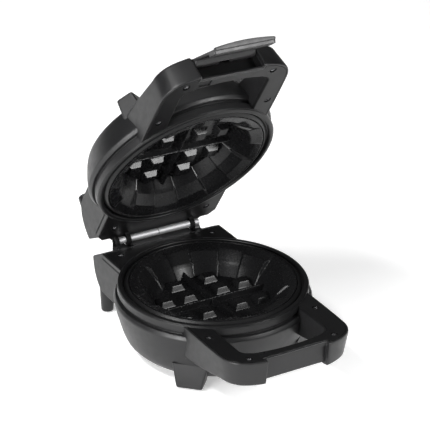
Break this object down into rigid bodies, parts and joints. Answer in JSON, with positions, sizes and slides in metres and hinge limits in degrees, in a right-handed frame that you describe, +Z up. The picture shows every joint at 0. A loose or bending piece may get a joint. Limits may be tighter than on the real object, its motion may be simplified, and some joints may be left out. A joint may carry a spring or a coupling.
{
  "type": "rotating waffle maker",
  "caption": "Round countertop waffle maker with a deep bowl-shaped base and hinged lid, facing grid plates, loop handles, a hinged latch and feet on both halves.",
  "frame": {"origin": "middle of the underside of the whole object's bounding box, with the lid and latch open as in the picture", "axes": "+X along the hinge to the right seen from the handles, +Y from the handles towards the hinge, +Z up"},
  "size_m": [0.2092, 0.3412, 0.3598],
  "materials": {
    "housing": "matte black moulded plastic",
    "frame": "satin black moulded plastic",
    "plate": "semi-gloss black non-stick coating on cast aluminium",
    "steel": "polished",
    "sheet": "plain sheet",
    "element": "oxidised heater tube",
    "screw": "black oxide",
    "rubber": "black rubber",
    "latch": "satin black moulded plastic",
    "insulator": "heat-resistant cream plastic"
  },
  "bodies": {
    "base": {"base_housing": "housing", "base_frame": "frame", "base_plate": "plate", "base_element": "element", "base_reflector": "sheet", "base_thermostat": "insulator", "base_fuse": "sheet", "base_screw_1": "screw", "base_screw_2": "screw", "base_screw_3": "screw", "base_screw_4": "screw", "base_screw_5": "screw", "base_screw_6": "screw", "base_pad_1": "rubber", "base_pad_2": "rubber", "base_pad_3": "rubber", "base_pad_4": "rubber", "hinge_rod": "steel", "hinge_sleeve_1": "steel", "hinge_sleeve_2": "steel", "hinge_sleeve_3": "steel", "hinge_sleeve_4": "steel", "link_wire": "rubber", "cord_gland": "rubber"},
    "lid": {"lid_housing": "housing", "lid_frame": "frame", "lid_plate": "plate", "lid_element": "element", "lid_reflector": "sheet", "lid_thermostat": "insulator", "lid_fuse": "sheet", "lid_screw_1": "screw", "lid_screw_2": "screw", "lid_screw_3": "screw", "lid_screw_4": "screw", "lid_screw_5": "screw", "lid_screw_6": "screw", "lid_pad_1": "rubber", "lid_pad_2": "rubber", "lid_pad_3": "rubber", "lid_pad_4": "rubber", "latch_pin": "steel", "latch_bush": "steel"},
    "latch": {"latch": "latch"}
  },
  "joints": [
    {"name": "lid_hinge", "type": "hinge", "parent": "base", "child": "lid", "pos_m": [0, 0.11986, 0.078], "axis": [-1, 0, 0], "range_deg": [-56, 39]},
    {"name": "latch_pivot", "type": "hinge", "parent": "lid", "child": "latch", "pos_m": [0, -0.01792, 0.32787], "axis": [-1, 0, 0], "range_deg": [-64, 12]}
  ]
}
